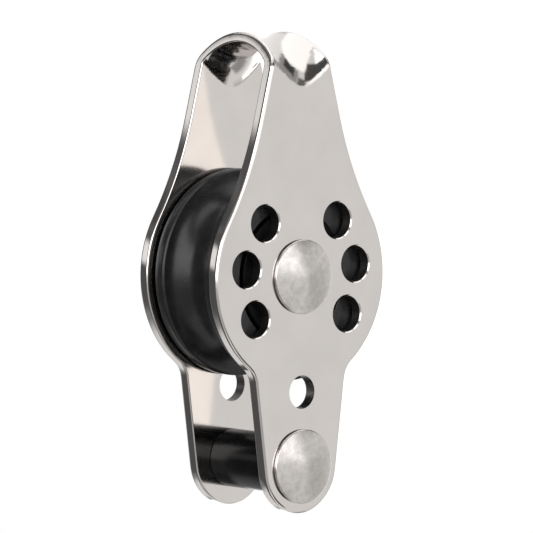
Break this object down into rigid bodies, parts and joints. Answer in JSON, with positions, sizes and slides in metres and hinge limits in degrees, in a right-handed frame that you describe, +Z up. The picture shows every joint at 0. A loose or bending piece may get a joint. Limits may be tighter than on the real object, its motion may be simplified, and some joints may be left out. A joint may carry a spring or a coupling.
{
  "type": "single block with becket",
  "caption": "Small rope block: one ball-bearing sheave between folded steel cheeks, with a saddle-shaped head eye and a becket post below.",
  "frame": {"origin": "centre of the sheave, on its axle line midway between the cheeks", "axes": "+Z up from the axle to the head eye, Y along the axle with the front cheek at -Y, X across the cheeks"},
  "size_m": [0.0234, 0.0144, 0.0504],
  "materials": {
    "polished_steel": "polished stainless sheet",
    "rivet_steel": "fine-turned stainless",
    "spacer_steel": "drawn stainless tube",
    "ball_steel": "polished bearing balls",
    "black_plastic": "moulded black acetal",
    "hub_plastic": "moulded black acetal"
  },
  "bodies": {
    "block": {"strap": "polished_steel", "axle_rivet": "rivet_steel", "axle_spacer": "spacer_steel", "hub_front": "hub_plastic", "hub_rear": "hub_plastic", "becket_rivet": "rivet_steel", "becket_spacer": "spacer_steel"},
    "sheave": {"sheave": "black_plastic"},
    "front_balls": {"ball_front_01": "ball_steel", "ball_front_02": "ball_steel", "ball_front_03": "ball_steel", "ball_front_04": "ball_steel", "ball_front_05": "ball_steel", "ball_front_06": "ball_steel", "ball_front_07": "ball_steel", "ball_front_08": "ball_steel", "ball_front_09": "ball_steel", "ball_front_10": "ball_steel", "ball_front_11": "ball_steel", "ball_front_12": "ball_steel", "ball_front_13": "ball_steel"},
    "rear_balls": {"ball_rear_01": "ball_steel", "ball_rear_02": "ball_steel", "ball_rear_03": "ball_steel", "ball_rear_04": "ball_steel", "ball_rear_05": "ball_steel", "ball_rear_06": "ball_steel", "ball_rear_07": "ball_steel", "ball_rear_08": "ball_steel", "ball_rear_09": "ball_steel", "ball_rear_10": "ball_steel", "ball_rear_11": "ball_steel", "ball_rear_12": "ball_steel", "ball_rear_13": "ball_steel"},
    "becket_sleeve": {"becket_sleeve": "black_plastic"}
  },
  "joints": [
    {"name": "sheave_spin", "type": "hinge", "parent": "block", "child": "sheave", "pos_m": [0, 0, 0], "axis": [0, 1, 0], "continuous": true},
    {"name": "front_balls_roll", "type": "hinge", "parent": "block", "child": "front_balls", "pos_m": [0, 0, 0], "axis": [0, 1, 0], "continuous": true},
    {"name": "rear_balls_roll", "type": "hinge", "parent": "block", "child": "rear_balls", "pos_m": [0, 0, 0], "axis": [0, 1, 0], "continuous": true},
    {"name": "becket_sleeve_turn", "type": "hinge", "parent": "block", "child": "becket_sleeve", "pos_m": [0, 0, -0.0199], "axis": [0, 1, 0], "continuous": true}
  ],
  "couplings": [
    {"joint": "front_balls_roll", "follows": "sheave_spin", "ratio": 0.61232},
    {"joint": "rear_balls_roll", "follows": "sheave_spin", "ratio": 0.61232}
  ]
}
